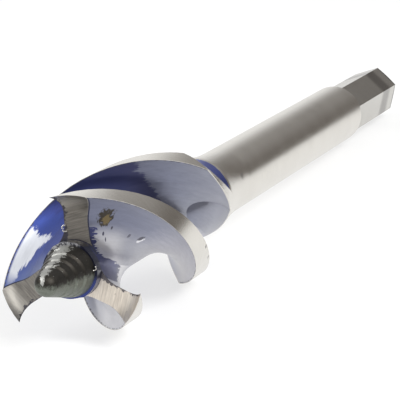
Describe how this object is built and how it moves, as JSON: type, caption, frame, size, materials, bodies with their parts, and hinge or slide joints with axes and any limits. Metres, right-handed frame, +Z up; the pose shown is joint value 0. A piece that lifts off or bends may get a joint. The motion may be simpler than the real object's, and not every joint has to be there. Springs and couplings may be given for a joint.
{
  "type": "auger drill bit",
  "caption": "Winged wood auger bit with a threaded lead screw, helical chip flutes, a round shank and a hexagonal drive end.",
  "frame": {"origin": "middle of the footprint of the bit as it lies on its side, at the height of the surface it lies on", "axes": "+X from the lead screw towards the hexagonal drive end, +Z up. The bit's own axis leaves +X by 1.94 degrees, drive end down"},
  "size_m": [0.1556, 0.016, 0.0166],
  "materials": {
    "lacquered_steel": "ground and polished steel, with clear blue lacquer on the flutes and shoulder",
    "black_oxide_steel": "dark oxide with worn crests"
  },
  "bodies": {
    "root": {"bit_body": "lacquered_steel", "lead_screw": "black_oxide_steel"}
  },
  "joints": []
}
